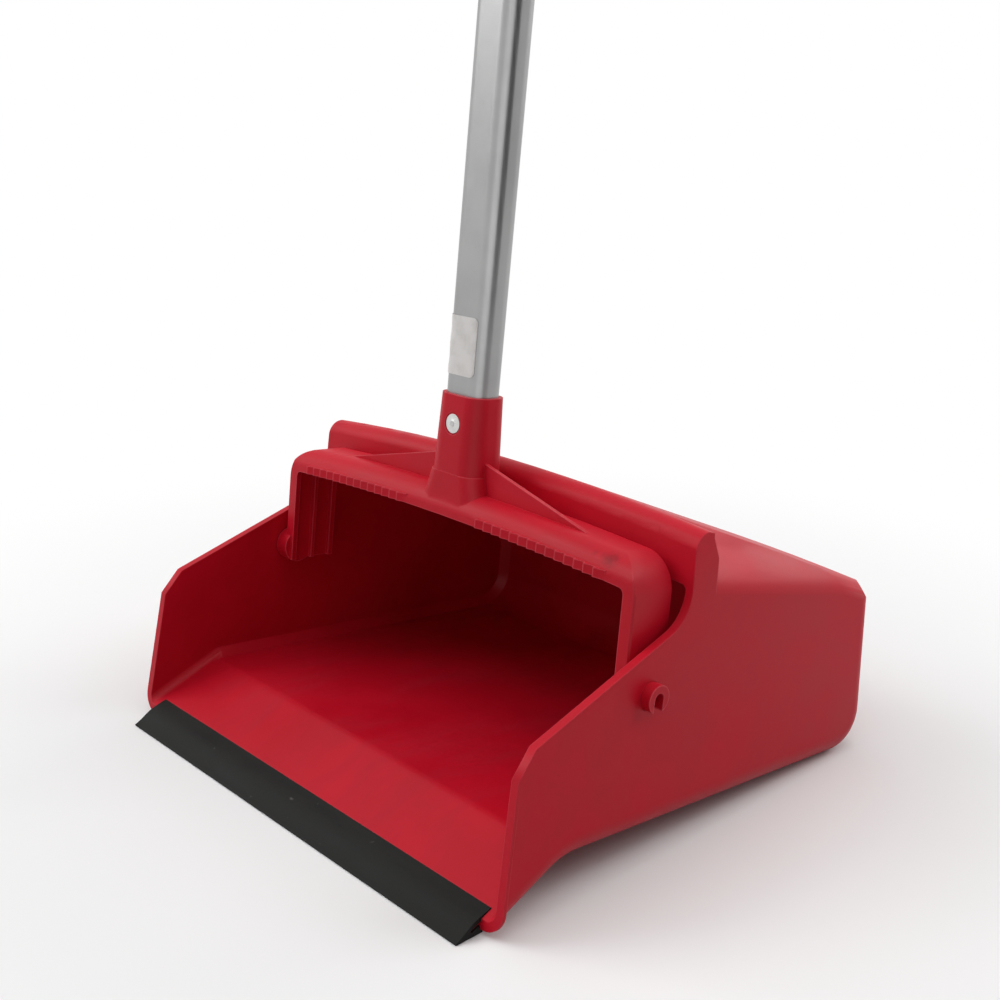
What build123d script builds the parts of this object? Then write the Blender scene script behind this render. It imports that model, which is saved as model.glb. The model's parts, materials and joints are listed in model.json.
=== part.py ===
"""Lobby dustpan: moulded pan, rubber lip, swinging hood with a long handle. Millimetres, +Z up."""
import math
import os

from build123d import *

os.makedirs("parts", exist_ok=True)

# The pan is drawn in its own frame: u runs rearward along the flat bottom, v upward from it
pan_half_width = 139.3
wall_lean = 0.067
wall = 4.0
floor = 3.2
deck = 3.0
bottom_radius = 12.0
rear_u = 258.3
rear_lean = 0.067
rear_radius = 22.0

# Front ramp, front edge and top edge of the side walls
ramp_bend_u = 33.0
ramp_angle = 27.7
bend_radius = 34.0
ridge_radius = 12.0
crease_radius = 4.5
inside_edge = 5.0
toe_u = -6.1
bead = 0.4
bead_drop = 1.2
bead_width = 1.6
bead_radius = 10.5
edge_v = 44.8
chamfer_u = 9.0
chamfer_v = 56.8
rim_angle = 22.6
sweep_radius = 20.0

# Deck with its rolled front, crowned across the width, and the bevels beside it
roll_u = 101.0
roll_radius = 8.0
deck_u = 108.0
deck_v = 139.0
deck_slope = 0.312
deck_edge_radius = 11.5
corner_trim = 6.8
crown_radius = 1450.0
flange_v = 114.5
bevel_front_u = 117.5
bevel_front_v = 108.0
bevel_drop = 0.1415
bevel_angle = 40.0
bevel_radius = 14.0
strip_bend_v = 120.0
strip_bend = 4.5
strip_turn_v = 129.5

# Rubber lip
lip_tip_u = -18.65
lip_tip_v = -24.96
lip_inset = 11.87
lip_foot = 14.6
lip_gap = 0.1
tongue = 4.6
tongue_low = 0.6
tongue_high = 2.0
rebate = 8.0
lip_proud = 0.4
lip_crest = 1.2
lip_brow = -1.8
lip_nose = -9.6
lip_blade = 0.9
lip_edge = 0.6
lip_brow_radius = 22.0
lip_nose_radius = 26.0
tongue_root = 3.0
tongue_end = 1.0

# Pivot between pan and hood
pivot_u = 77.2
pivot_v = 65.0
pin_radius = 6.5
pin_play = 0.06
pin_bore = 2.9
pin_out = 5.0
boss_radius = 9.0
slot_set = 0.8
side_gap = 0.6

# Hood
hood_front = 71.1
hood_depth = 27.6
hood_side_gap = 5.41
hood_lean = 0.023
hood_low = 58.0
hood_top = 125.2
hood_crown = 1700.0
hood_corner = 17.0
leg = 6.45
opening_lean = 0.025
opening_top = 112.8
opening_corner = 3.0
skin = 3.0
rib = 2.0
bar_front_radius = 11.0
bar_rear_edge = 3.2
leg_edge = 0.8
hollow_end = 6.0

# Comb on the hood
tooth_pitch = 5.79
tooth_count = 14
tooth_start = 26.0
tooth_height = 4.6
tooth_proud = 1.8
tooth_root = 1.5
tooth_lift = 0.2

# Handle tube, its socket and the gussets
tube_width = 25.5
tube_depth = 17.6
tube_radius = 6.8
tube_wall = 1.3
tube_u = 85.8
tube_foot = 128.5
tube_length = 678.0
tube_play = 0.05
socket_top = 170.5
socket_wall = 1.9
socket_front = 2.2
socket_flare = 2.0
socket_corner = 1.0
socket_root = 7.0
foot_spread = 6.5
foot_depth = 2.3
neck = 1.5
neck_height = 8.0
gusset = 2.0
gusset_peak = 143.8
gusset_reach = 84.9
gusset_root = 1.5

# Blind rivet
rivet_v = 156.9
rivet_radius = 2.4
rivet_play = 0.05
head_radius = 4.6
head_height = 1.3
head_edge = 0.3
seat_radius = 5.3
seat_depth = 11.1
bulb_radius = 3.3
bulb_length = 4.0
mandrel_radius = 1.3
mandrel_set = 0.4
mandrel_head_radius = 2.5
mandrel_head = 2.0

# Hand grip
grip_length = 118.0
grip_width = 33.0
grip_depth = 25.0
grip_radius = 12.0
grip_cap = 22.0
hang_radius = 6.0
grip_foot_edge = 1.0

# Reach of the cutting bodies beyond the part, and the margin that keeps them off flat faces
far = 400.0
headroom = 25.0
mouth = 60.0
skim = 0.05

# Stance: the pan rests on the rubber lip and on the rounding below its rear wall
rear_stretch = math.hypot(1, rear_lean)
arm_u = rear_u - rear_radius * (rear_lean + rear_stretch) - lip_tip_u
arm_v = rear_radius - lip_tip_v
tilt = math.atan2(arm_v, arm_u) - math.asin(rear_radius / math.hypot(arm_u, arm_v))
c, s = math.cos(tilt), math.sin(tilt)
stretch = math.hypot(1, deck_slope)


def deck_line(u, down=0.0):
    return deck_v - deck_slope * (u - deck_u) - down * stretch


def rear_line(v, inset=0.0):
    return rear_u - rear_lean * v - inset


def rear_corner(inset, down):
    u = (rear_line(deck_line(0, down), inset)) / (1 - rear_lean * deck_slope)
    return u, deck_line(u, down)


# The origin lies on the ground below the middle of the outline, between lip and deck
ramp_turn = math.radians(ramp_angle)
nose_u = lip_tip_u - lip_edge * math.sin(ramp_turn)
nose_v = lip_tip_v + lip_edge * math.cos(ramp_turn)
arc_u, arc_v = rear_corner(deck_edge_radius * rear_stretch - skim, deck_edge_radius - skim)
depth = (arc_u - nose_u) * c + (arc_v - nose_v) * s + deck_edge_radius
base_y = -depth / 2 - nose_u * c - nose_v * s
base_z = lip_tip_u * s - lip_tip_v * c


def at(x, u, v):
    return (x, base_y + u * c + v * s, base_z - u * s + v * c)


def heading(x, u, v):
    return (x, u * c + v * s, v * c - u * s)


def side_plane(x=0.0):
    return Plane(origin=at(x, 0, 0), x_dir=(0, c, -s), z_dir=(1, 0, 0))


def front_plane(u=0.0, v=0.0):
    return Plane(origin=at(0, u, v), x_dir=(1, 0, 0), z_dir=(0, -c, s))


def plan_plane(u=0.0, v=0.0):
    return Plane(origin=at(0, u, v), x_dir=(1, 0, 0), z_dir=(0, s, c))


side = side_plane()
crown_axis = Axis(at(0, 0, deck_v - crown_radius), heading(0, 1, 0))
deck_end, deck_low = rear_corner(0, 0)
crown_arm = crown_radius / rear_stretch
rear_axis = Axis(at(0, deck_end + crown_arm * rear_lean, deck_low - crown_arm), heading(0, 1, rear_lean))
lip_fall = ramp_turn - tilt
ramp_slope = math.tan(ramp_turn)
rim_slope = math.tan(math.radians(rim_angle))
high = deck_v + headroom


def ramp(u, up=0.0):
    return (u - ramp_bend_u) * ramp_slope + up / math.cos(ramp_turn)


def half_width(v, inset=0.0):
    return pan_half_width - wall_lean * v - inset


def sag(x, radius):
    return radius - math.sqrt(radius ** 2 - x ** 2)


def between_walls(inset=0.0):
    Polyline((-half_width(-far, inset), -far), (half_width(-far, inset), -far),
             (half_width(far, inset), far), (-half_width(far, inset), far), close=True)


bend_in = ramp_bend_u + (floor - floor / math.cos(ramp_turn)) / ramp_slope
sweep_v = chamfer_v + (roll_u - chamfer_u) * rim_slope

# Prisms along the corners between deck and side walls: the bevels, and the walls' own thickness inside
deck_edge = deck_low - sag(half_width(deck_low), crown_radius)
edge_angle = math.asin(half_width(deck_edge) / crown_radius)
bevel_turn = math.radians(bevel_angle)


def corner_plane(u, v, drop, inset_x=0.0, inset_v=0.0):
    along = Vector(*heading(-wall_lean * drop, -1, drop)).normalized()
    across = Vector(1, 0, 0) - along * along.X
    return Plane(origin=at(half_width(v) + skim - inset_x, u, v - inset_v), x_dir=across, z_dir=along)


def corner_outline(turn):
    reach = pan_half_width
    Polyline((0, 0), (wall_lean * reach, -reach), (far, -reach), (far, far), (-reach * math.cos(turn), far),
             (-reach * math.cos(turn), reach * math.sin(turn)), close=True)


with BuildPart() as corner_cut:
    with BuildSketch(corner_plane(bevel_front_u, bevel_front_v, bevel_drop)) as bevel_section:
        with BuildLine():
            corner_outline(bevel_turn)
        make_face()
        fillet(bevel_section.vertices().sort_by_distance((0, 0))[0], bevel_radius)
    extrude(amount=far, both=True)
    with BuildSketch(corner_plane(deck_end, deck_edge, deck_slope)) as edge_section:
        with BuildLine():
            corner_outline(edge_angle)
        make_face()
        fillet(edge_section.vertices().sort_by_distance((0, 0))[0], deck_edge_radius)
    extrude(amount=far, both=True)
    rear_tip = Plane(origin=at(half_width(deck_edge), deck_end, deck_edge), z_dir=heading(1, 1, 1))
    with BuildSketch(rear_tip.offset(-corner_trim)):
        Rectangle(far, far)
    extrude(amount=far)
    with BuildSketch(side):
        with BuildLine():
            Polyline((bevel_front_u, -far), (bevel_front_u, strip_bend_v),
                     (bevel_front_u - strip_bend, strip_turn_v), (bevel_front_u - strip_bend, far),
                     (far, far), (far, -far), close=True)
        make_face()
    extrude(amount=far, both=True, mode=Mode.INTERSECT)
    mirror(about=Plane.YZ)

with BuildPart() as corner_fill:
    with BuildSketch(corner_plane(bevel_front_u, bevel_front_v, bevel_drop, wall, deck)):
        with BuildLine():
            corner_outline(bevel_turn)
        make_face()
    extrude(amount=far, both=True)
    with BuildSketch(corner_plane(deck_end, deck_edge, deck_slope, wall, deck)) as fill_section:
        with BuildLine():
            corner_outline(edge_angle)
        make_face()
        fillet(fill_section.vertices().sort_by_distance((0, 0))[0], deck_edge_radius - wall)
    extrude(amount=far, both=True)
    mirror(about=Plane.YZ)

# Space above the ramp, which meets the walls in a rounded crease that runs out behind the bend
inner_rear = rear_line(floor, wall)
crease_u = bend_in + 2 * inside_edge / ramp_slope
with BuildPart() as ramp_space:
    with BuildSketch(side):
        with BuildLine():
            Polyline((-mouth, ramp(-mouth, floor)), (crease_u, ramp(crease_u, floor)), (crease_u, flange_v),
                     (-mouth, flange_v), close=True)
        make_face()
    extrude(amount=far, both=True)
    with BuildSketch(front_plane()):
        with BuildLine():
            between_walls(wall)
        make_face()
    extrude(amount=2 * far, both=True, mode=Mode.INTERSECT)
    creases = ramp_space.faces().sort_by_distance(at(0, 0, ramp(0, floor)))[0].edges().sort_by(Axis.X)
    fillet([creases[0], creases[-1]], crease_radius)

# Inside of the pan, taken out of it further down; a tangent cut just touches the rounding that it replaces
tangent_cut = 2 - math.sqrt(2)
slack = skim + rear_lean * sag(pan_half_width, crown_radius)
with BuildPart() as pan_inside:
    with BuildSketch(side) as inside_outline:
        with BuildLine():
            Polyline((-mouth, ramp(-mouth, floor)), (bend_in, floor), (inner_rear, floor),
                     (rear_line(high, wall), high), (-mouth, high), close=True)
        make_face()
        fillet(inside_outline.vertices().sort_by_distance((bend_in, floor))[0], ridge_radius)
        fillet(inside_outline.vertices().sort_by_distance((inner_rear, floor))[0], rear_radius - floor)
    extrude(amount=far, both=True)
    with BuildSketch(front_plane()):
        with BuildLine():
            between_walls(wall)
        make_face()
    extrude(amount=2 * far, both=True, mode=Mode.INTERSECT)
    walls = pan_inside.faces().sort_by(Axis.X)
    low_edges = []
    for edge in walls[0].edges() + walls[-1].edges():
        middle = side.to_local_coords(edge.center())
        if middle.X > -mouth + skim and middle.Y < flange_v:
            low_edges.append(edge)
    chamfer(low_edges, inside_edge)
    add(ramp_space.part)
    with BuildSketch(side) as ceiling:
        with BuildLine():
            Polyline((-far, -far), (-far, far), (roll_u - roll_radius, far), (roll_u - roll_radius, flange_v),
                     (roll_u + deck, flange_v), (roll_u + deck, deck_line(roll_u + deck, deck)),
                     rear_corner(wall - slack, deck), (rear_line(-far, wall - slack), -far), close=True)
        make_face()
        rear_bevel = ceiling.vertices().sort_by_distance(rear_corner(wall, deck))[0]
        chamfer(rear_bevel, tangent_cut * (deck_edge_radius - deck))
        roll_bevel = ceiling.vertices().sort_by_distance((roll_u + deck, deck_line(roll_u + deck, deck)))[0]
        chamfer(roll_bevel, tangent_cut * (roll_radius - deck))
    revolve(axis=crown_axis, mode=Mode.INTERSECT)
    add(corner_fill.part, mode=Mode.SUBTRACT)

with BuildPart() as pan:
    with BuildSketch(side) as outline:
        with BuildLine():
            Polyline((toe_u, ramp(toe_u)), (ramp_bend_u, 0), (rear_u, 0), (rear_line(high), high),
                     (roll_u, high), (roll_u, sweep_v), (chamfer_u, chamfer_v), (0, edge_v), close=True)
        make_face()
        fillet(outline.vertices().sort_by_distance((ramp_bend_u, 0))[0], bend_radius)
        fillet(outline.vertices().sort_by_distance((rear_u, 0))[0], rear_radius)
        fillet(outline.vertices().sort_by_distance((roll_u, sweep_v))[0], sweep_radius)
    extrude(amount=far, both=True)
    with BuildSketch(front_plane()):
        with BuildLine():
            between_walls()
        make_face()
    extrude(amount=2 * far, both=True, mode=Mode.INTERSECT)
    walls = pan.faces().sort_by(Axis.X)
    low_edges = []
    for edge in walls[0].edges() + walls[-1].edges():
        middle = side.to_local_coords(edge.center())
        if middle.Y < floor or (middle.X > rear_u - rear_radius and middle.Y < flange_v):
            low_edges.append(edge)
    fillet(low_edges, bottom_radius)
    with BuildSketch(side) as roof:
        with BuildLine():
            Polyline((-far, -far), (-far, flange_v), (roll_u - skim, flange_v),
                     (roll_u - skim, deck_line(roll_u - skim)), (far, deck_line(far)), (far, -far),
                     close=True)
        make_face()
        fillet(roof.vertices().sort_by_distance((roll_u, deck_line(roll_u)))[0], roll_radius)
    revolve(axis=crown_axis, mode=Mode.INTERSECT)
    edge_reach = 2 * deck_edge_radius
    with BuildSketch(side):
        with BuildLine():
            Polyline((arc_u, arc_v),
                     (arc_u + edge_reach * deck_slope / stretch, arc_v + edge_reach / stretch), (far, far),
                     (arc_u + edge_reach / rear_stretch, arc_v + edge_reach * rear_lean / rear_stretch),
                     close=True)
        make_face()
        with Locations((arc_u, arc_v)):
            Circle(deck_edge_radius, mode=Mode.SUBTRACT)
    revolve(axis=rear_axis, mode=Mode.SUBTRACT)
    add(corner_cut.part, mode=Mode.SUBTRACT)
    lip_half_length = half_width(ramp(toe_u)) - lip_inset
    bead_low = ramp(toe_u) - bead_drop
    bead_x = half_width(bead_low) + bead
    bead_end = lip_half_length + lip_gap
    edge_turn = math.atan2(-toe_u, edge_v - ramp(toe_u)) + tilt
    with BuildSketch(Plane(origin=at(0, 0, edge_v), x_dir=(1, 0, 0),
                           z_dir=(0, -math.cos(edge_turn), math.sin(edge_turn)))) as bead_section:
        with BuildLine():
            Polyline((half_width(edge_v), 0), (bead_x, bead_low - edge_v), (bead_end, bead_low - edge_v),
                     (bead_end, -edge_v), close=True)
        make_face()
        fillet(bead_section.vertices().sort_by_distance((bead_x, bead_low - edge_v))[0], bead_radius)
        mirror(about=Plane.YZ)
    extrude(amount=-bead_width)
    add(pan_inside.part, mode=Mode.SUBTRACT)
    lip_plane = Plane(origin=at(0, toe_u, ramp(toe_u)), x_dir=(0, math.cos(lip_fall), math.sin(lip_fall)),
                      z_dir=(1, 0, 0))
    with BuildSketch(lip_plane):
        with BuildLine():
            Polyline((-tongue, tongue_high), (rebate + lip_gap, tongue_high), (rebate + lip_gap, far),
                     (-tongue, far), close=True)
        make_face()
    extrude(amount=lip_half_length + lip_gap, both=True, mode=Mode.SUBTRACT)
    with BuildSketch(lip_plane):
        with BuildLine():
            Polyline((-tongue, tongue_low), (tongue_root, tongue_low), (tongue_root, tongue_high),
                     (-tongue, tongue_high), close=True)
        make_face()
    extrude(amount=lip_half_length - tongue_end, both=True)
    with BuildSketch(side):
        with Locations((pivot_u, pivot_v)):
            Circle(pin_radius + pin_play)
    extrude(amount=far, both=True, mode=Mode.SUBTRACT)
pan.part.label = "pan"
export_step(pan.part, "parts/pan.step")

# Rubber lip: upper flange in the rebate, slot round the tongue, foot flat on the ground
toe_v = ramp(toe_u)
toe_z = at(0, toe_u, toe_v)[2]
tip_x = (lip_tip_u - toe_u) * math.cos(ramp_turn) + (lip_tip_v - toe_v) * math.sin(ramp_turn)
tip_y = (lip_tip_v - toe_v) * math.cos(ramp_turn) - (lip_tip_u - toe_u) * math.sin(ramp_turn)
heel_x = tip_x + lip_foot * math.cos(lip_fall)
heel_y = tip_y - lip_foot * math.sin(lip_fall)
with BuildPart() as rubber_lip:
    with BuildSketch(lip_plane) as lip_section:
        with BuildLine():
            Polyline((tip_x, tip_y), (heel_x, heel_y), (heel_x, 0), (0, 0), (0, tongue_low),
                     (-tongue, tongue_low), (-tongue, tongue_high), (rebate, tongue_high),
                     (rebate, floor + lip_proud), (lip_brow, floor + lip_crest),
                     (lip_nose, tip_y + lip_blade), (tip_x, tip_y + lip_edge), close=True)
        make_face()
        fillet(lip_section.vertices().sort_by_distance((lip_brow, floor + lip_crest))[0], lip_brow_radius)
        fillet(lip_section.vertices().sort_by_distance((lip_nose, tip_y + lip_blade))[0], lip_nose_radius)
    extrude(amount=lip_half_length, both=True)
rubber_lip.part.label = "rubber_lip"
export_step(rubber_lip.part, "parts/rubber_lip.step")

# The hood stands between the pan's walls, its opening between its own legs
hood_rear = hood_front + hood_depth
hood_half_width = half_width(hood_low, wall) - hood_side_gap
top_half_width = hood_half_width - hood_lean * (hood_top - hood_low)
opening_half_width = top_half_width - leg
hood_axis = Axis(at(0, 0, hood_top - hood_crown), heading(0, 1, 0))

# Comb on the hood's arched bar
teeth = [(tooth_start + i * tooth_pitch, 0) for i in range(tooth_count)]
teeth += [(-tooth_start - (i + 1) * tooth_pitch, 0) for i in range(tooth_count)]
comb_end = opening_half_width
comb_foot = opening_top + tooth_lift
comb_head = opening_top + tooth_height
comb_fall = sag(comb_end, hood_crown)
with BuildPart() as comb:
    with BuildSketch(plan_plane(hood_front, hood_low)):
        with Locations(*teeth):
            Polygon((0, tooth_root), (0, -tooth_proud), (tooth_pitch, 0), (tooth_pitch, tooth_root),
                    align=None)
    extrude(amount=hood_top - hood_low)
    with BuildSketch(front_plane(hood_front)):
        with BuildLine():
            ThreePointArc((-comb_end, comb_foot - comb_fall), (0, comb_foot),
                          (comb_end, comb_foot - comb_fall))
            Line((comb_end, comb_foot - comb_fall), (comb_end, comb_head - comb_fall))
            ThreePointArc((comb_end, comb_head - comb_fall), (0, comb_head),
                          (-comb_end, comb_head - comb_fall))
            Line((-comb_end, comb_head - comb_fall), (-comb_end, comb_foot - comb_fall))
        make_face()
    extrude(amount=hood_depth, both=True, mode=Mode.INTERSECT)

# Hollow below the arched bar, a skin inside its rolled front
hollow_x = opening_half_width - hollow_end
with BuildPart() as hollow:
    with BuildSketch(side) as hollow_section:
        with BuildLine():
            Polyline((hood_front + skin, hood_low), (hood_front + skin, hood_top - skin),
                     (hood_rear - skin, hood_top - skin), (hood_rear - skin, hood_low), close=True)
        make_face()
        hollow_front = hollow_section.vertices().sort_by_distance((hood_front + skin, hood_top - skin))[0]
        chamfer(hollow_front, tangent_cut * (bar_front_radius - skin))
    revolve(axis=hood_axis)
    with BuildSketch(side):
        Rectangle(2 * far, 2 * far)
    extrude(amount=hollow_x, both=True, mode=Mode.INTERSECT)

# Hood: one moulding with legs, pins, comb, socket and gussets
hood_side = hood_top - sag(top_half_width, hood_crown)
opening_side = opening_top - sag(opening_half_width, hood_crown)
opening_foot = opening_half_width + opening_lean * opening_top
gusset_fall = sag(gusset_reach, hood_crown)
gusset_low = hood_top - gusset_root
boss_end = half_width(pivot_v + boss_radius, wall) - side_gap
boss_root = top_half_width - skin
pin_end = half_width(pivot_v) + pin_out
socket_width = tube_width + 2 * socket_wall
socket_depth = tube_depth + 2 * socket_front
socket_radius = tube_radius + socket_wall
with BuildPart() as hood:
    with BuildSketch(front_plane(hood_front)) as hood_outline:
        with BuildLine():
            Polyline((-top_half_width, hood_side), (-hood_half_width, hood_low), (hood_half_width, hood_low),
                     (top_half_width, hood_side))
            ThreePointArc((top_half_width, hood_side), (0, hood_top), (-top_half_width, hood_side))
        make_face()
        fillet(hood_outline.vertices().group_by(Axis.Y)[-1], hood_corner)
    extrude(amount=-hood_depth)
    rear_face = hood.faces().sort_by_distance(at(0, hood_rear, hood_low + skin))[0]
    chamfer(rear_face.edges().sort_by(Axis.Z)[1:], bar_rear_edge)
    front_face = hood.faces().sort_by_distance(at(0, hood_front, hood_low + skin))[0]
    chamfer(front_face.edges().sort_by(Axis.Z)[1:], leg_edge)
    with BuildSketch(side) as bar_section:
        with BuildLine():
            Polyline((hood_front - skim, 0), (hood_front - skim, hood_top + skim),
                     (hood_rear + skim, hood_top + skim), (hood_rear + skim, 0), close=True)
        make_face()
        fillet(bar_section.vertices().sort_by_distance((hood_front, hood_top))[0], bar_front_radius)
    revolve(axis=hood_axis, mode=Mode.INTERSECT)
    with BuildSketch(front_plane(tube_u - gusset)):
        with BuildLine():
            Polyline((-gusset_reach, gusset_low - gusset_fall), (-gusset_reach, hood_top - gusset_fall),
                     (0, gusset_peak), (gusset_reach, hood_top - gusset_fall),
                     (gusset_reach, gusset_low - gusset_fall))
            ThreePointArc((gusset_reach, gusset_low - gusset_fall), (0, gusset_low),
                          (-gusset_reach, gusset_low - gusset_fall))
        make_face()
    extrude(amount=gusset / 2, both=True)
    with BuildSketch(plan_plane(tube_u, hood_top - socket_root)):
        RectangleRounded(socket_width + 2 * socket_flare, socket_depth + 2 * socket_flare,
                         socket_radius + socket_flare)
    with BuildSketch(plan_plane(tube_u, socket_top)):
        RectangleRounded(socket_width, socket_depth, socket_radius)
    loft(ruled=True)
    with BuildSketch(plan_plane(tube_u, hood_top - socket_root)):
        RectangleRounded(socket_width + 2 * foot_spread, socket_depth + 2 * foot_depth,
                         socket_radius + socket_corner)
    with BuildSketch(plan_plane(tube_u, hood_top + neck_height)):
        RectangleRounded(socket_width + 2 * neck, socket_depth + 2 * neck, socket_radius)
    loft(ruled=True)
    add(comb.part)
    add(hollow.part, mode=Mode.SUBTRACT)
    with BuildSketch(front_plane(hood_front)) as opening:
        with BuildLine():
            Polyline((-opening_half_width, opening_side), (-opening_foot, 0), (opening_foot, 0),
                     (opening_half_width, opening_side))
            ThreePointArc((opening_half_width, opening_side), (0, opening_top),
                          (-opening_half_width, opening_side))
        make_face()
        fillet(opening.vertices().group_by(Axis.Y)[-1], opening_corner)
    extrude(amount=far, both=True, mode=Mode.SUBTRACT)
    pocket = (hood_depth - 2 * skin - rib) / 2
    with BuildSketch(plan_plane(hood_front, 0)):
        with Locations((0, skin + pocket / 2), (0, skin + pocket * 1.5 + rib)):
            Rectangle(2 * boss_root, pocket)
    extrude(amount=opening_side, mode=Mode.SUBTRACT)
    for way in (1, -1):
        with BuildSketch(side_plane(way * boss_root)):
            with Locations((pivot_u, pivot_v)):
                Circle(boss_radius)
        extrude(amount=way * (boss_end - boss_root))
        with BuildSketch(side_plane(way * boss_root)):
            with Locations((pivot_u, pivot_v)):
                Circle(pin_radius)
        extrude(amount=way * (pin_end - boss_root))
        with BuildSketch(side_plane(way * boss_end)):
            with Locations((pivot_u, pivot_v)):
                Circle(pin_bore)
        extrude(amount=way * far, mode=Mode.SUBTRACT)
        with BuildSketch(side_plane(way * (pin_end - pin_out + slot_set))):
            with Locations((pivot_u, pivot_v - pin_radius)):
                Rectangle(2 * pin_bore, 2 * pin_radius)
        extrude(amount=way * far, mode=Mode.SUBTRACT)
    with BuildSketch(plan_plane(tube_u, tube_foot)):
        RectangleRounded(tube_width + 2 * tube_play, tube_depth + 2 * tube_play, tube_radius + tube_play)
    extrude(amount=tube_length, mode=Mode.SUBTRACT)
    with BuildSketch(front_plane(tube_u, rivet_v)):
        Circle(rivet_radius + rivet_play)
    extrude(amount=far, mode=Mode.SUBTRACT)
    with BuildSketch(front_plane(tube_u - seat_depth, rivet_v)):
        Circle(seat_radius)
    extrude(amount=far, mode=Mode.SUBTRACT)
hood.part.label = "hood"
export_step(hood.part, "parts/hood.step")

with BuildPart() as handle_tube:
    with BuildSketch(plan_plane(tube_u, tube_foot)):
        RectangleRounded(tube_width, tube_depth, tube_radius)
        RectangleRounded(tube_width - 2 * tube_wall, tube_depth - 2 * tube_wall, tube_radius - tube_wall,
                         mode=Mode.SUBTRACT)
    extrude(amount=tube_length)
    with BuildSketch(front_plane(tube_u, rivet_v)):
        Circle(rivet_radius + rivet_play)
    extrude(amount=far, mode=Mode.SUBTRACT)
handle_tube.part.label = "handle_tube"
export_step(handle_tube.part, "parts/handle_tube.step")

# Blind rivet: domed head on the seat, shank through socket and tube, bulb inside the tube
seat_plane = front_plane(tube_u - seat_depth, rivet_v)
shank = seat_depth - tube_depth / 2 + tube_wall
dome = head_height - head_edge
dome_radius = (head_radius ** 2 + dome ** 2) / (2 * dome)
with BuildPart() as rivet_body:
    with BuildSketch(Plane(origin=seat_plane.origin, x_dir=(1, 0, 0), z_dir=plan_plane().z_dir)):
        with BuildLine():
            Line((0, 0), (head_radius, 0))
            Line((head_radius, 0), (head_radius, -head_edge))
            RadiusArc((head_radius, -head_edge), (0, -head_height), -dome_radius)
            Line((0, -head_height), (0, 0))
        make_face()
    revolve(axis=Axis(seat_plane.origin, seat_plane.z_dir))
    with BuildSketch(seat_plane):
        Circle(rivet_radius)
    extrude(amount=-shank - bulb_length)
    with BuildSketch(seat_plane.offset(-shank)):
        Circle(bulb_radius)
    extrude(amount=-bulb_length)
    with BuildSketch(seat_plane):
        Circle(mandrel_radius + rivet_play)
    extrude(amount=far, both=True, mode=Mode.SUBTRACT)
rivet_body.part.label = "rivet_body"
export_step(rivet_body.part, "parts/rivet_body.step")

with BuildPart() as rivet_mandrel:
    with BuildSketch(seat_plane.offset(head_height - mandrel_set)):
        Circle(mandrel_radius)
    extrude(amount=-shank - bulb_length - head_height + mandrel_set)
    with BuildSketch(seat_plane.offset(-shank - bulb_length)):
        Circle(mandrel_head_radius)
    extrude(amount=-mandrel_head)
rivet_mandrel.part.label = "rivet_mandrel"
export_step(rivet_mandrel.part, "parts/rivet_mandrel.step")

tube_end = tube_foot + tube_length
with BuildPart() as hand_grip:
    with BuildSketch(plan_plane(tube_u, tube_end + grip_cap - grip_length)):
        RectangleRounded(grip_width, grip_depth, grip_radius)
    extrude(amount=grip_length)
    with BuildSketch(front_plane(tube_u, tube_end + grip_cap)):
        SlotOverall(2 * far, grip_width, rotation=90, align=(Align.MAX, Align.CENTER))
    extrude(amount=far, both=True, mode=Mode.INTERSECT)
    chamfer(hand_grip.faces().sort_by(Axis.Z)[0].edges(), grip_foot_edge)
    with BuildSketch(plan_plane(tube_u, tube_end - grip_length)):
        RectangleRounded(tube_width + 2 * tube_play, tube_depth + 2 * tube_play, tube_radius + tube_play)
    extrude(amount=grip_length, mode=Mode.SUBTRACT)
    with BuildSketch(front_plane(tube_u, tube_end + grip_cap / 2)):
        Circle(hang_radius)
    extrude(amount=far, both=True, mode=Mode.SUBTRACT)
hand_grip.part.label = "hand_grip"
export_step(hand_grip.part, "parts/hand_grip.step")
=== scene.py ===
import json
import math

import bpy
import numpy as np
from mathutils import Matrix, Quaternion, Vector

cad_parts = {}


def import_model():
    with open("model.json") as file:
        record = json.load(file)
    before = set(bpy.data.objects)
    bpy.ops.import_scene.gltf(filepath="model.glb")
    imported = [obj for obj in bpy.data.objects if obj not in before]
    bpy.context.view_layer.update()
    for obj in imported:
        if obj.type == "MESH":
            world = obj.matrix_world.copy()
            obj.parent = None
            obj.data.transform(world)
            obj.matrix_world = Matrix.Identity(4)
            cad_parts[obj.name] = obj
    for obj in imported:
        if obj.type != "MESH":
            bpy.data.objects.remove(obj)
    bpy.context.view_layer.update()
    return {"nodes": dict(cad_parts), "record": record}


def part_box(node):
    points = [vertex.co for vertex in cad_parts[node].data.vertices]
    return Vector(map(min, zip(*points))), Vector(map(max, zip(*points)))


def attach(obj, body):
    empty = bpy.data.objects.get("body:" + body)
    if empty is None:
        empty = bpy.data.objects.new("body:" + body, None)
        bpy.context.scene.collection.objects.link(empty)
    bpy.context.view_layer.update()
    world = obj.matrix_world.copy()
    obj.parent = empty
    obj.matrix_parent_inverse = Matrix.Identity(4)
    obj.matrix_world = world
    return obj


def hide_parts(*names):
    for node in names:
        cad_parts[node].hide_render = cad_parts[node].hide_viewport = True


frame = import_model()
nodes = frame["nodes"]
print("frame loaded:", len(nodes), "nodes")


# Shader helpers

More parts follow.
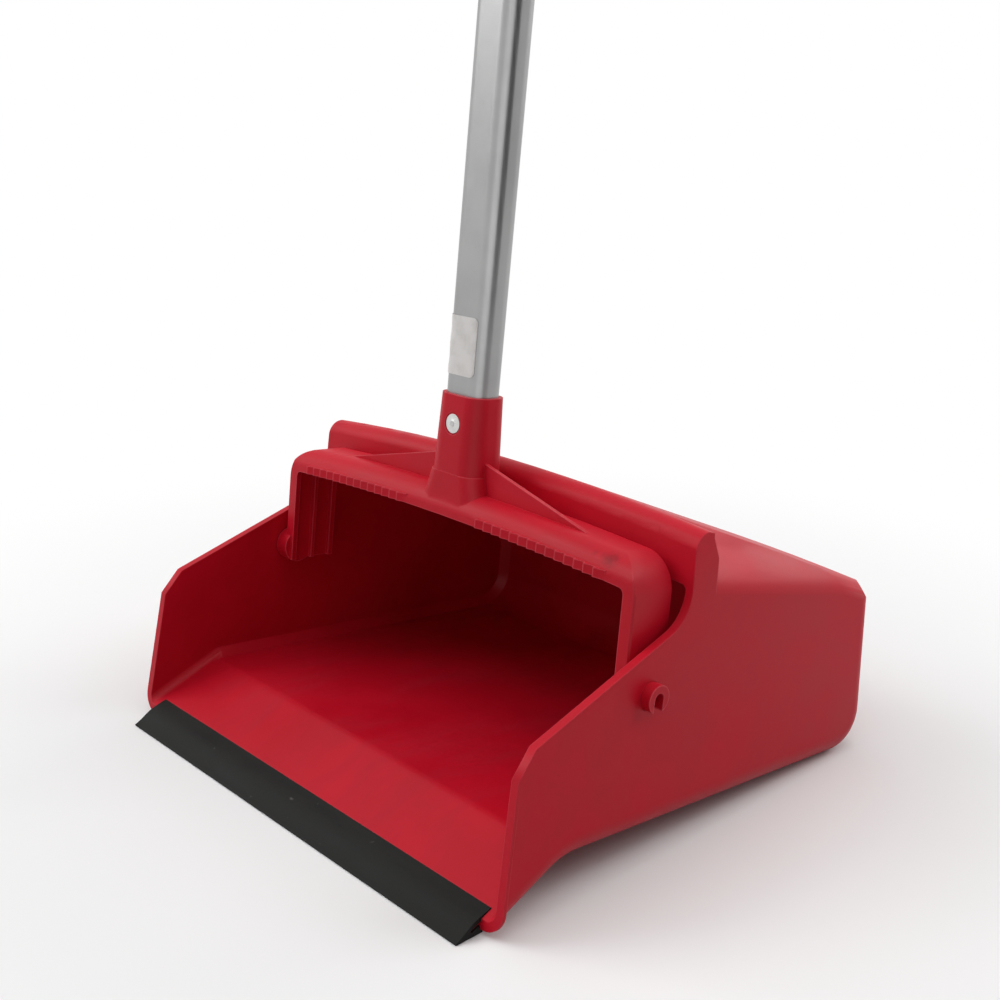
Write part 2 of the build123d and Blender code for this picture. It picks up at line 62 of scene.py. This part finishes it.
shading = {"noiseRoughness": 0.55, "bevelRays": 6, "edgeRays": 8, "smudgeDetail": 4.0}
bands = {               # the stretch of a noise, slope or distance over which a change runs
    "blotch": (0.3, 0.7), "sweep": (0.45, 0.75), "upward": (0.55, 0.9), "dirtSpeck": (0.66, 0.78),
    "dustSpeck": (0.74, 0.8), "wiped": (0.3, 0.7), "stain": (0.35, 0.7), "drawn": (0.25, 0.75),
    "fibre": (0.3, 0.7), "soil": (0.4, 0.75), "edge": (0.5, 0.95), "smudge": (0.55, 1.5),
}


class Shader:
    def __init__(self, name):
        self.material = bpy.data.materials.new(name)
        self.material.use_nodes = True
        self.tree = self.material.node_tree
        self.surface = self.tree.nodes["Principled BSDF"]
        self.output = self.tree.nodes["Material Output"].inputs["Surface"]
        self.coords = self.tree.nodes.new("ShaderNodeTexCoord").outputs["Object"]

    def add(self, kind, **sockets):
        node = self.tree.nodes.new(kind)
        for key, value in sockets.items():
            self.feed(node.inputs[key.replace("_", " ")], value)
        return node

    def feed(self, socket, value):
        if isinstance(value, bpy.types.NodeSocket):
            self.tree.links.new(value, socket)
        else:
            socket.default_value = value

    def put(self, **sockets):
        for key, value in sockets.items():
            self.feed(self.surface.inputs[key.replace("_", " ")], value)

    def stretched(self, scale, shift=(0.0, 0.0, 0.0)):
        node = self.add("ShaderNodeMapping", Vector=self.coords, Scale=scale, Location=shift)
        return node.outputs["Vector"]

    def noise(self, scale, detail, vector=None):
        node = self.add("ShaderNodeTexNoise", Scale=scale, Detail=detail, Vector=vector or self.coords,
                        Roughness=shading["noiseRoughness"])
        return node.outputs["Fac"]

    def streaks(self, scales, detail):
        # noise on stretched coordinates, so its own scale is 1
        return self.noise(1.0, detail, self.stretched(scales))

    def between(self, value, band, start=0.0, end=1.0):
        # goes smoothly from start to end while the value crosses the band
        node = self.tree.nodes.new("ShaderNodeMapRange")
        node.interpolation_type = "SMOOTHSTEP"
        for socket, item in zip(node.inputs, (value, *band, start, end)):
            self.feed(socket, item)
        return node.outputs[0]

    def math(self, operation, first, second):
        node = self.tree.nodes.new("ShaderNodeMath")
        node.operation = operation
        self.feed(node.inputs[0], first)
        self.feed(node.inputs[1], second)
        return node.outputs[0]

    def length(self, vector):
        node = self.tree.nodes.new("ShaderNodeVectorMath")
        node.operation = "LENGTH"
        self.feed(node.inputs[0], vector)
        return node.outputs["Value"]

    def mix(self, factor, first, second):
        node = self.tree.nodes.new("ShaderNodeMix")
        node.data_type = "RGBA"     # its colours are the inputs 6 and 7 and the output 2
        self.feed(node.inputs["Factor"], factor)
        self.feed(node.inputs[6], first)
        self.feed(node.inputs[7], second)
        return node.outputs[2]

    def blend(self, factor, first, second):
        node = self.tree.nodes.new("ShaderNodeMixShader")
        for socket, value in zip(node.inputs, (factor, first, second)):
            self.feed(socket, value)
        return node.outputs[0]

    def relief(self, height, paint, edge=0.0):
        bump = self.add("ShaderNodeBump", Height=height, Strength=paint["relief"],
                        Distance=paint["reliefDepth"])
        if edge > 0:
            rounded = self.add("ShaderNodeBevel", Radius=edge)
            rounded.samples = shading["bevelRays"]
            self.feed(bump.inputs["Normal"], rounded.outputs["Normal"])
        self.put(Normal=bump.outputs["Normal"])

    def convexEdges(self, width):
        # short rays cast inwards are cut off only near an outer edge
        node = self.add("ShaderNodeAmbientOcclusion", Distance=width)
        node.inside = node.only_local = True
        node.samples = shading["edgeRays"]
        return self.between(node.outputs["AO"], bands["edge"], 1.0, 0.0)

    def smudge(self, mark):
        # distance from the mark's middle in units of its half lengths, broken up by noise
        scale = tuple(1 / half for half in mark["half"])
        shift = tuple(-at / half for at, half in zip(mark["place"], mark["half"]))
        away = self.length(self.stretched(scale, shift))
        ragged = self.math("ADD", away, self.noise(mark["grain"], shading["smudgeDetail"]))
        return self.between(ragged, bands["smudge"], mark["depth"], 0.0)


def linear(red, green, blue):
    # the sRGB curve, from levels of 255 to light
    levels = np.array([red, green, blue]) / 255
    curved = ((levels + 0.055) / 1.055) ** 2.4
    return (*np.where(levels <= 0.04045, levels / 12.92, curved).tolist(), 1.0)


# Materials: each noise is given as its scale and its detail

def redPlastic(name, paint):
    shader = Shader(name)
    blotch = shader.noise(*paint["blotch"])
    share = shader.between(blotch, bands["blotch"])
    colour = shader.mix(share, linear(*paint["deep"]), linear(*paint["fresh"]))
    # fine dust lies on what faces upwards, in streaks along the sweep
    sweep = shader.streaks(*paint["sweep"])
    facing = shader.add("ShaderNodeNewGeometry").outputs["Normal"]
    height = shader.add("ShaderNodeSeparateXYZ", Vector=facing).outputs["Z"]
    dusty = shader.between(sweep, bands["sweep"], 0.0, paint["wear"])
    worn = shader.math("MULTIPLY", shader.between(height, bands["upward"]), dusty)
    colour = shader.mix(worn, colour, linear(*paint["dust"]))
    speck = shader.between(shader.noise(*paint["speck"]), bands["dirtSpeck"], 0.0, paint["specks"])
    colour = shader.mix(speck, colour, linear(*paint["dirt"]))
    # convex edges take the pale colour: partly wear, partly a painted highlight where the rounded edges catch
    # the light
    wornAndHighlitEdges = shader.math("MULTIPLY", shader.convexEdges(paint["edgeWidth"]), paint["edgeWearAndHighlight"])
    colour = shader.mix(wornAndHighlitEdges, colour, linear(*paint["pale"]))
    for mark in paint["scuffs"]:
        colour = shader.mix(shader.smudge(mark), colour, linear(*paint["dirt"]))
    polish = shader.between(blotch, bands["blotch"], paint["smooth"], paint["rough"])
    dulled = shader.math("ADD", polish, shader.math("MULTIPLY", worn, paint["dustRough"]))
    shader.put(Base_Color=colour, Roughness=dulled, Specular_IOR_Level=paint["shine"])
    shader.relief(shader.noise(*paint["grain"]), paint, paint["edge"])
    return shader.material


def rubber(paint):
    shader = Shader("rubber")
    wiped = shader.streaks(*paint["wipe"])
    speck = shader.between(shader.noise(*paint["speck"]), bands["dustSpeck"], 0.0, paint["specks"])
    colour = shader.mix(shader.between(wiped, bands["wiped"]), linear(*paint["deep"]), linear(*paint["worn"]))
    colour = shader.mix(speck, colour, linear(*paint["dust"]))
    for mark in paint["scuffs"]:
        colour = shader.mix(shader.smudge(mark), colour, linear(*paint["dust"]))
    shader.put(Base_Color=colour, Specular_IOR_Level=paint["shine"])
    shader.put(Roughness=shader.between(wiped, bands["wiped"], paint["smooth"], paint["rough"]))
    shader.relief(shader.noise(*paint["grain"]), paint, paint["edge"])
    return shader.material


def metal(name, paint):
    shader = Shader(name)
    drawn = shader.streaks(*paint["drawn"])
    stain = shader.noise(*paint["stain"])
    share = shader.between(stain, bands["stain"])
    colour = shader.mix(share, linear(*paint["bright"]), linear(*paint["dull"]))
    satin = shader.between(drawn, bands["drawn"], paint["smooth"], paint["rough"])
    shader.put(Base_Color=colour, Metallic=paint["metallic"], Roughness=satin)
    shader.relief(drawn, paint, paint["edge"])
    return shader.material


def paper(paint):
    shader = Shader("paper")
    fibre = shader.noise(*paint["fibre"])
    soil = shader.noise(*paint["soil"])
    share = shader.between(soil, bands["soil"])
    colour = shader.mix(share, linear(*paint["clean"]), linear(*paint["soiled"]))
    shader.put(Base_Color=colour)
    shader.put(Roughness=shader.between(fibre, bands["fibre"], paint["smooth"], paint["rough"]))
    shader.relief(fibre, paint)
    return shader.material


panPaint = {
    "deep": (188, 8, 33), "fresh": (198, 10, 37), "dust": (168, 26, 46), "dirt": (70, 8, 16),
    # the pale edge colour and its share below are partly wear and partly a painted highlight
    "pale": (232, 96, 108), "edgeWearAndHighlight": 0.15, "edgeWidth": 0.0008,
    "blotch": (18.0, 3.0), "grain": (900.0, 2.0), "speck": (700.0, 1.0), "specks": 0.08,
    "sweep": ((60.0, 14.0, 30.0), 5.0), "wear": 0.35, "dustRough": 0.3, "scuffs": [],
    "smooth": 0.42, "rough": 0.5, "shine": 0.22, "relief": 0.1, "reliefDepth": 0.0003, "edge": 0.0006,
}
hoodPaint = dict(panPaint, wear=0.2, sweep=((40.0, 40.0, 40.0), 5.0), edgeWearAndHighlight=0.45, edge=0.0003, scuffs=[
    {"place": (0.1065, -0.0341, 0.1336), "half": (0.0062, 0.0070, 0.0042), "grain": 420.0, "depth": 0.42},
    {"place": (0.0975, -0.0345, 0.1345), "half": (0.0020, 0.0030, 0.0022), "grain": 500.0, "depth": 0.2},
])
gripPaint = dict(panPaint, wear=0.15)
rubberPaint = {
    "deep": (22, 22, 21), "worn": (34, 34, 32), "dust": (92, 90, 88), "wipe": ((35.0, 160.0, 160.0), 5.0),
    "speck": (260.0, 1.0), "specks": 0.3, "grain": (700.0, 3.0), "smooth": 0.55, "rough": 0.7, "shine": 0.16,
    "relief": 0.15, "reliefDepth": 0.0004, "edge": 0.0004,
    "scuffs": [{"place": (-0.0005, -0.1292, 0.0070), "half": (0.0016, 0.0010, 0.0010), "grain": 900.0,
                "depth": 0.8}],
}
tubePaint = {
    "bright": (160, 160, 160), "dull": (152, 152, 152), "drawn": ((1400.0, 1400.0, 5.0), 4.0),
    "stain": (30.0, 4.0), "metallic": 1.0, "smooth": 0.3, "rough": 0.38,
    "relief": 0.03, "reliefDepth": 0.0002, "edge": 0.0002,
}
rivetPaint = dict(tubePaint, bright=(208, 208, 206), dull=(190, 190, 188), smooth=0.26, rough=0.36,
                  drawn=((300.0, 300.0, 300.0), 4.0))
steelPaint = dict(rivetPaint, bright=(188, 188, 187), dull=(172, 172, 172))
finishes = {
    "pan": redPlastic("pan_plastic", panPaint),
    "rubber_lip": rubber(rubberPaint),
    "hood": redPlastic("hood_plastic", hoodPaint),
    "handle_tube": metal("tube_aluminium", tubePaint),
    "rivet_body": metal("rivet_aluminium", rivetPaint),
    "rivet_mandrel": metal("rivet_steel", steelPaint),
    "hand_grip": redPlastic("grip_plastic", gripPaint),
}
for name, finish in finishes.items():
    nodes[name].data.materials.clear()
    nodes[name].data.materials.append(finish)
print("materials:", len(finishes))


# Smooth copies of the rounded parts

smoothing = {
    "mergeStep": 1e-6,      # points nearer than this are one point
    "sharpAngle": 38.0,     # edges that turn by more stay crisp
    "copies": {             # node: piece, body, material slot
        "pan": ("pan_shell", "pan", "pan_plastic"),
        "hood": ("hood_yoke", "handle", "hood_plastic"),
        "hand_grip": ("grip_sleeve", "handle", "grip_plastic"),
        "handle_tube": ("tube_drawn", "handle", "tube_aluminium"),
        "rivet_body": ("rivet_head", "handle", "rivet_aluminium"),
    },
}


def newPiece(name, points, faces, material):
    mesh = bpy.data.meshes.new(name)
    mesh.from_pydata(points, [], faces)
    mesh.materials.append(material)
    piece = bpy.data.objects.new(name, mesh)
    bpy.context.scene.collection.objects.link(piece)
    return piece


def mergedTriangles(source):
    # points at the same place get one number, and the triangles are renumbered to match
    points = np.empty(len(source.vertices) * 3, np.float32)
    source.vertices.foreach_get("co", points)
    corners = np.empty(len(source.loops), np.int32)
    source.loops.foreach_get("vertex_index", corners)
    points = points.reshape(-1, 3).astype(float)
    places = np.round(points / smoothing["mergeStep"]).astype(np.int64)
    first, number = np.unique(places, axis=0, return_index=True, return_inverse=True)[1:]
    faces = number.reshape(-1)[corners].reshape(-1, 3)
    whole = (faces != np.roll(faces, 1, axis=1)).all(axis=1)    # no triangle that the merge has closed up
    return points[first], faces[whole]


def smoothCopy(node):
    name, body, slot = smoothing["copies"][node]
    points, faces = mergedTriangles(nodes[node].data)
    piece = newPiece(name, points.tolist(), faces.tolist(), finishes[node])
    piece.data.polygons.foreach_set("use_smooth", np.ones(len(faces), bool))
    piece.data.set_sharp_from_angle(angle=math.radians(smoothing["sharpAngle"]))
    flatter = piece.modifiers.new("flatter", "WEIGHTED_NORMAL")
    flatter.keep_sharp = True
    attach(piece, body)
    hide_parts(node)
    return len(points), len(faces)


for name in smoothing["copies"]:
    print("smooth copy of", name, *smoothCopy(name))


# Blank label on the tube

label = {
    "low": 0.0510, "high": 0.0785,        # height above the tube's foot
    "left": 0.0190, "right": 0.0085,      # reach along the section, from the middle of the front face
    "corner": 0.0025, "lift": 0.00012, "thickness": 0.00010,
    "loose": 0.0007, "waves": 2.3,        # the left side has come away from the tube a little
    "columns": 73, "rows": 61,
}
tubeSection = {"across": 0.01275, "along": 0.0088, "radius": 0.0068}    # half sizes and corner
paperPaint = {
    "clean": (232, 230, 228), "soiled": (215, 213, 210), "fibre": (1500.0, 4.0), "soil": (120.0, 3.0),
    "smooth": 0.4, "rough": 0.55, "relief": 0.05, "reliefDepth": 0.0002,
}


def tubeAxes():
    hole = next(mount for mount in frame["record"]["mounts"] if mount["name"] == "hanging_hole")
    centre, front, side = np.array(hole["pos_m"]), np.array(hole["axis"]), np.array([1.0, 0.0, 0.0])
    up = np.cross(front, side)
    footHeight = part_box("handle_tube")[0].z + tubeSection["along"] * abs(front[2])
    foot = centre + up * (footHeight - centre[2]) / up[2]
    return foot, side, front, up


def sectionPoint(distance, lift):
    # a flat half face, then a quarter round, then the flat side each take their share of the distance
    radius = tubeSection["radius"]
    flat = tubeSection["across"] - radius
    away = np.abs(distance)
    angle = np.clip((away - flat) / radius, 0, math.pi / 2)
    beyond = np.clip(away - flat - radius * math.pi / 2, 0, None)
    across = np.sign(distance) * (np.clip(away, 0, flat) + (radius + lift) * np.sin(angle))
    return across, tubeSection["along"] - radius + (radius + lift) * np.cos(angle) - beyond


def shellPiece(name, outer, inner, material):
    # two grids of points become two skins, and their rims are joined all round
    rows, columns = outer.shape[:2]
    count = rows * columns
    index = np.arange(count).reshape(rows, columns)
    quads = np.stack([index[:-1, :-1], index[:-1, 1:], index[1:, 1:], index[1:, :-1]], -1).reshape(-1, 4)
    rim = np.concatenate([index[0, :-1], index[:-1, -1], index[-1, :0:-1], index[:0:-1, 0]])
    after = np.roll(rim, -1)
    edge = np.stack([after, rim, rim + count, after + count], -1)
    faces = np.concatenate([quads, quads[:, ::-1] + count, edge])
    points = np.concatenate([outer.reshape(-1, 3), inner.reshape(-1, 3)])
    return newPiece(name, points.tolist(), faces.tolist(), material)


def blankLabel():
    foot, side, front, up = tubeAxes()
    across = np.linspace(-1, 1, label["columns"])[None, :]
    height = np.linspace(label["low"], label["high"], label["rows"])[:, None]
    # rounded corners: within a corner radius of either end the row is shorter by a quarter circle's sag
    middle = (label["low"] + label["high"]) / 2
    near = np.clip(np.abs(height - middle) - (label["high"] - middle) + label["corner"], 0, label["corner"])
    sag = label["corner"] - np.sqrt(label["corner"] ** 2 - near ** 2)
    halfWidth = (label["left"] + label["right"]) / 2 - sag
    distance = (label["right"] - label["left"]) / 2 + across * halfWidth
    # the loose side lifts with the square of the way round, in slow waves up the tube
    away = np.clip(-distance / label["left"], 0, 1) ** 2
    along = (height - label["low"]) / (label["high"] - label["low"])
    wave = 0.5 + 0.5 * np.sin(2 * math.pi * label["waves"] * along)
    lift = label["lift"] + label["loose"] * away * wave
    layers = []
    for thick in (label["thickness"], 0.0):
        sideways, forward = sectionPoint(distance, lift + thick)
        layers.append(foot + sideways[..., None] * side + forward[..., None] * front + height[..., None] * up)
    piece = shellPiece("tube_label", *layers, paper(paperPaint))
    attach(piece, "handle")


blankLabel()
print("label made")


# Floor, lights and camera

floorSizes = {"half": 4.0, "drop": 0.0002, "fade": (0.24, 0.55)}    # the fade to white runs outwards
floorPaint = {"shade": 0.93, "bounce": 0.5, "rough": 0.9, "shine": 0.1}
# the dark card paints a dark reflection and the bright card a bright reflection on the tube's corner
cards = [               # seen only in reflections, where they draw the tube's corner
    {"name": "darkCard", "spread": (-14.0, 37.0), "glow": 0.05},
    {"name": "brightCard", "spread": (-62.0, -22.0), "glow": 1.5},
]
cardSizes = {"away": 1.5, "low": 0.0, "high": 1.1}
lamps = [
    {"name": "softbox", "place": (0.0, -0.2, 1.9), "size": (2.4, 2.4), "power": 21.0},
    {"name": "front", "place": (-1.2, -1.1, 1.3), "size": (1.2, 1.2), "power": 14.6},
    {"name": "backRight", "place": (1.1, 1.2, 1.5), "size": (1.0, 1.0), "power": 10.2},
    {"name": "backStrip", "place": (0.15, 2.2, 0.95), "size": (2.0, 0.8), "power": 8.5},
]
lampTarget = Vector((0.0, 0.0, 0.08))
studio = {"ambient": 0.24, "whiteUpTo": 0.35, "dimFrom": 0.85, "overhead": 0.4}
view = {
    "place": (0.45934, -0.43704, 0.32310), "azimuth": 47.2378, "elevation": 20.9827, "roll": 0.8489,
    "lens": 47.7098, "shift": (0.02234, 0.09006), "clip": (0.01, 50.0),
}


def seenRays(tree):
    # 1 for what the camera sees, straight or in a surface, and 0 for light on its way
    path = tree.nodes.new("ShaderNodeLightPath")
    seen = path.outputs["Is Camera Ray"]
    for kind in ("Is Glossy Ray", "Is Transmission Ray"):
        either = tree.nodes.new("ShaderNodeMath")
        either.operation = "MAXIMUM"
        tree.links.new(seen, either.inputs[0])
        tree.links.new(path.outputs[kind], either.inputs[1])
        seen = either.outputs[0]
    return seen


def stagePanel(name, corners, material):
    panel = newPiece(name, corners, [tuple(range(len(corners)))], material)
    return panel


def floor():
    shader = Shader("floor")
    shader.put(Base_Color=(*[floorPaint["shade"]] * 3, 1.0))
    shader.put(Roughness=floorPaint["rough"], Specular_IOR_Level=floorPaint["shine"])
    # the floor looks pale, but throws less light back up at the object
    bounce = shader.add("ShaderNodeBsdfDiffuse", Color=(*[floorPaint["bounce"]] * 3, 1.0))
    white = shader.add("ShaderNodeEmission", Color=(1, 1, 1, 1), Strength=1.0)
    fade = shader.between(shader.length(shader.coords), floorSizes["fade"])
    pale = shader.blend(fade, shader.surface.outputs[0], white.outputs[0])
    shader.feed(shader.output, shader.blend(seenRays(shader.tree), bounce.outputs[0], pale))
    half, down = floorSizes["half"], -floorSizes["drop"]
    corners = [(-half, -half, down), (half, -half, down), (half, half, down), (-half, half, down)]
    stagePanel("floor", corners, shader.material)


def reflectionCard(card):
    shader = Shader(card["name"])
    glow = shader.add("ShaderNodeEmission", Color=(1, 1, 1, 1), Strength=card["glow"])
    shader.feed(shader.output, glow.outputs[0])
    left, right = (math.radians(angle) for angle in card["spread"])
    away, low, high = cardSizes["away"], cardSizes["low"], cardSizes["high"]
    corners = [(away * math.cos(turn), away * math.sin(turn), height) for turn, height in
               ((left, low), (right, low), (right, high), (left, high))]
    panel = stagePanel(card["name"], corners, shader.material)
    # hidden from the camera, from diffuse light and from shadows, each card shows only as a painted
    # reflection
    panel.visible_camera = panel.visible_diffuse = panel.visible_shadow = panel.visible_transmission = False


def world():
    made = bpy.data.worlds.new("studio")
    made.use_nodes = True
    tree = made.node_tree
    ambient = tree.nodes["Background"]
    ambient.inputs["Color"].default_value = (1, 1, 1, 1)
    ambient.inputs["Strength"].default_value = studio["ambient"]
    # what is seen is white around the horizon and falls off overhead
    direction = tree.nodes.new("ShaderNodeTexCoord").outputs["Generated"]
    parts = tree.nodes.new("ShaderNodeSeparateXYZ")
    tree.links.new(direction, parts.inputs[0])
    fall = tree.nodes.new("ShaderNodeMapRange")
    fall.interpolation_type = "SMOOTHSTEP"
    tree.links.new(parts.outputs["Z"], fall.inputs[0])
    for index, value in enumerate((studio["whiteUpTo"], studio["dimFrom"], 1.0, studio["overhead"])):
        fall.inputs[index + 1].default_value = value
    seen = tree.nodes.new("ShaderNodeBackground")
    seen.inputs["Color"].default_value = (1, 1, 1, 1)
    tree.links.new(fall.outputs[0], seen.inputs["Strength"])
    blend = tree.nodes.new("ShaderNodeMixShader")
    for source, socket in zip((seenRays(tree), ambient.outputs[0], seen.outputs[0]), blend.inputs):
        tree.links.new(source, socket)
    tree.links.new(blend.outputs[0], tree.nodes["World Output"].inputs["Surface"])
    bpy.context.scene.world = made


def areaLight(lamp):
    data = bpy.data.lights.new(lamp["name"], "AREA")
    data.shape = "RECTANGLE"
    data.size, data.size_y = lamp["size"]
    data.energy = lamp["power"]
    made = bpy.data.objects.new(lamp["name"], data)
    bpy.context.scene.collection.objects.link(made)
    made.location = lamp["place"]
    made.rotation_mode = "QUATERNION"
    made.rotation_quaternion = (lampTarget - made.location).to_track_quat("-Z", "Y")


def camera():
    data = bpy.data.cameras.new("camera")
    data.lens = view["lens"]
    data.shift_x, data.shift_y = view["shift"]
    data.clip_start, data.clip_end = view["clip"]
    made = bpy.data.objects.new("camera", data)
    bpy.context.scene.collection.objects.link(made)
    azimuth, elevation = math.radians(view["azimuth"]), math.radians(view["elevation"])
    level = math.cos(elevation)
    ahead = Vector((-math.sin(azimuth) * level, math.cos(azimuth) * level, -math.sin(elevation)))
    roll = Quaternion((0, 0, 1), math.radians(view["roll"]))
    made.location = view["place"]
    made.rotation_mode = "QUATERNION"
    made.rotation_quaternion = ahead.to_track_quat("-Z", "Y") @ roll
    bpy.context.scene.camera = made


floor()
for card in cards:
    reflectionCard(card)
world()
for lamp in lamps:
    areaLight(lamp)
camera()
bpy.context.scene.view_settings.view_transform = "Standard"
print("stage made")
